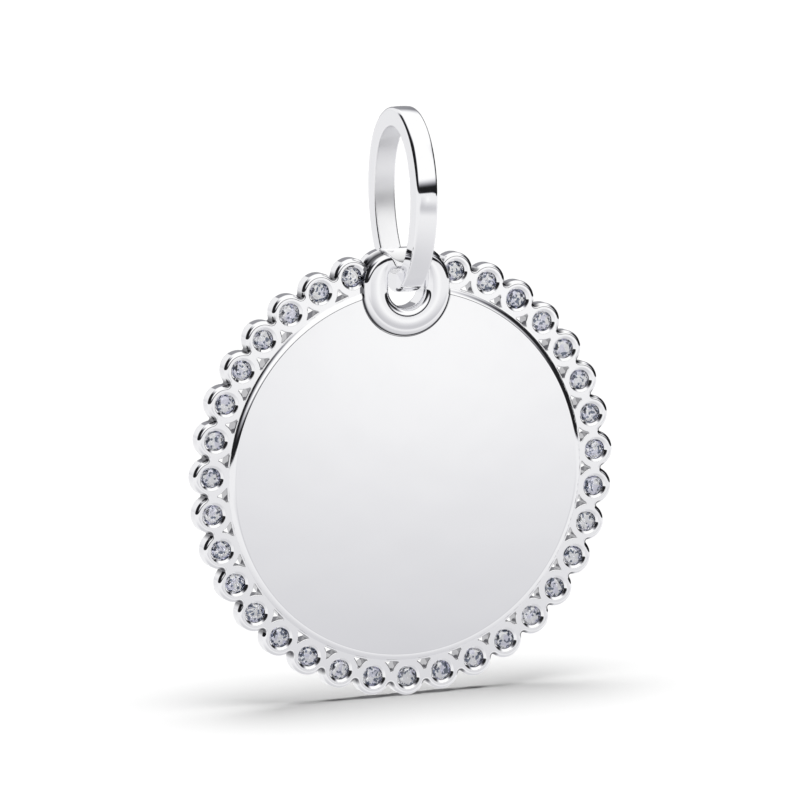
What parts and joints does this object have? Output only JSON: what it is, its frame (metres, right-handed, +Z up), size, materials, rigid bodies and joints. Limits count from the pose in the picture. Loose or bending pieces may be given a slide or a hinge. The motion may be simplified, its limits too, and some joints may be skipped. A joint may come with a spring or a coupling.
{
  "type": "disc pendant",
  "caption": "Hanging disc pendant: a polished round plate in a rim of small stones in round bezels, with an eyelet that swings on an oval bail.",
  "frame": {"origin": "inside top of the bail's opening, where the chain bears, half way across its band", "axes": "+Z up, -Y towards the front of the disc, X along the width of the bail's band"},
  "size_m": [0.0224, 0.0066, 0.0295],
  "materials": {
    "silver": "high polish",
    "stone": "cut and polished facets"
  },
  "bodies": {
    "bail": {"bail": "silver"},
    "pendant": {"medallion": "silver", "stone_01": "stone", "stone_02": "stone", "stone_03": "stone", "stone_04": "stone", "stone_05": "stone", "stone_06": "stone", "stone_07": "stone", "stone_08": "stone", "stone_09": "stone", "stone_10": "stone", "stone_11": "stone", "stone_12": "stone", "stone_13": "stone", "stone_14": "stone", "stone_15": "stone", "stone_16": "stone", "stone_17": "stone", "stone_18": "stone", "stone_19": "stone", "stone_20": "stone", "stone_21": "stone", "stone_22": "stone", "stone_23": "stone", "stone_24": "stone", "stone_25": "stone", "stone_26": "stone", "stone_27": "stone", "stone_28": "stone", "stone_29": "stone", "stone_30": "stone", "stone_31": "stone", "stone_32": "stone", "stone_33": "stone"}
  },
  "joints": [
    {"name": "swing", "type": "hinge", "parent": "bail", "child": "pendant", "pos_m": [0, 0, -0.00641], "axis": [1, 0, 0], "range_deg": [-75, 75]}
  ]
}
